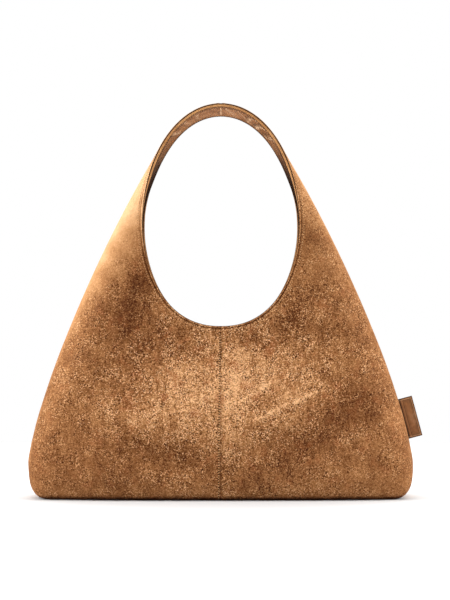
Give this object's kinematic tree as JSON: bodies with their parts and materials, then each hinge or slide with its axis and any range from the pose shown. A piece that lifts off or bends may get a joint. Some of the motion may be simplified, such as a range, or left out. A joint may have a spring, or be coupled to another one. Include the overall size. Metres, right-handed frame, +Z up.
{
  "type": "hobo shoulder bag",
  "caption": "Soft suede hobo bag whose sides run up into one broad handle loop, with seamed panels, leather facings, lining, inner pockets, a magnetic closure tab and a side label.",
  "frame": {"origin": "on the floor plane under the middle of the base", "axes": "+X along the width, to the right seen from the front; -Y out of the front face; +Z up"},
  "size_m": [0.4525, 0.1064, 0.453],
  "materials": {
    "suede": "distressed tan suede with a soft nap",
    "base_leather": "tan suede",
    "facing_leather": "smooth reddish-brown leather",
    "label_leather": "smooth leather with painted edges",
    "lining": "twill",
    "interlining": "bonded felt",
    "base_board": "matt",
    "zip_tape": "woven",
    "zip_coil": "nylon",
    "brass": "brushed"
  },
  "bodies": {
    "bag_body": {"front_panel_left": "suede", "front_panel_right": "suede", "back_panel_left": "suede", "back_panel_right": "suede", "base_panel": "base_leather", "base_board": "base_board", "front_lining": "lining", "back_lining": "lining", "base_lining": "lining", "front_facing": "facing_leather", "back_facing": "facing_leather", "front_mouth_stay": "interlining", "back_mouth_stay": "interlining", "slip_pocket_back": "lining", "slip_pocket_front": "lining", "slip_pocket_binding": "facing_leather", "zip_pocket_back": "lining", "zip_pocket_front": "lining", "zip_tape_upper": "zip_tape", "zip_tape_lower": "zip_tape", "zip_coil": "zip_coil", "zip_stops": "brass", "closure_tab_front": "facing_leather", "snap_female": "brass", "snap_washer_front": "brass"},
    "handle": {"handle_front_left": "suede", "handle_front_right": "suede", "handle_back_left": "suede", "handle_back_right": "suede", "handle_stay_left": "interlining", "handle_stay_right": "interlining", "handle_facing_left": "facing_leather", "handle_facing_right": "facing_leather"},
    "closure_tab": {"closure_tab_back": "facing_leather", "snap_male": "brass", "snap_washer_back": "brass"},
    "slider": {"zip_slider": "brass"},
    "pull": {"zip_pull": "brass"},
    "label": {"side_label": "label_leather"}
  },
  "joints": [
    {"name": "handle_fold", "type": "hinge", "parent": "bag_body", "child": "handle", "pos_m": [0, 0, 0.337], "axis": [1, 0, 0], "range_deg": [-75, 75]},
    {"name": "closure_tab_lift", "type": "hinge", "parent": "bag_body", "child": "closure_tab", "pos_m": [0, 0.0183, 0.189], "axis": [-1, 0, 0], "range_deg": [0, 90]},
    {"name": "zip_run", "type": "slide", "parent": "bag_body", "child": "slider", "axis": [-1, 0, 0], "range_m": [0, 0.162]},
    {"name": "zip_pull_swing", "type": "hinge", "parent": "slider", "child": "pull", "pos_m": [0.081, 0.0245, 0.144], "axis": [0, 0, 1], "range_deg": [0, 170]},
    {"name": "label_bend", "type": "hinge", "parent": "bag_body", "child": "label", "pos_m": [0.21234, 0, 0.08963], "axis": [-0.2554, 0, 0.9668], "range_deg": [-50, 50], "stiffness_Nm_per_rad": 0.001}
  ]
}
